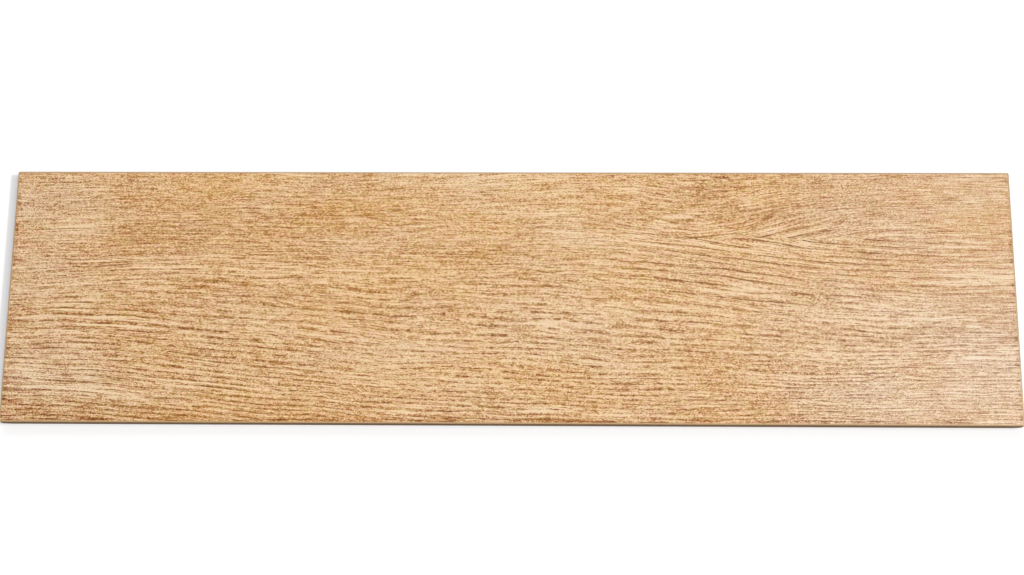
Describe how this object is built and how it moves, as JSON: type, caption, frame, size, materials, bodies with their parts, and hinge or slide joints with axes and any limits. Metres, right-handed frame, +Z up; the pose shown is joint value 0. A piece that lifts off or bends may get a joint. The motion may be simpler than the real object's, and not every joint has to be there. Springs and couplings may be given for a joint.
{
  "type": "wood-look porcelain plank tile",
  "caption": "Long rectangular glazed porcelain floor plank with a printed oak grain face, rounded glazed edges, drawn-in lower sides and a keyed back for adhesive.",
  "frame": {"origin": "centre of the bedding plane, under the middle of the face", "axes": "+X along the grain, +Y across it towards the back edge of the picture, +Z up out of the glazed face"},
  "size_m": [0.597, 0.153, 0.0095],
  "materials": {
    "glazed_porcelain": "satin glaze printed with a golden oak grain over a fine relief, on a bare tan porcelain body"
  },
  "bodies": {
    "root": {"plank_tile": "glazed_porcelain"}
  },
  "joints": []
}
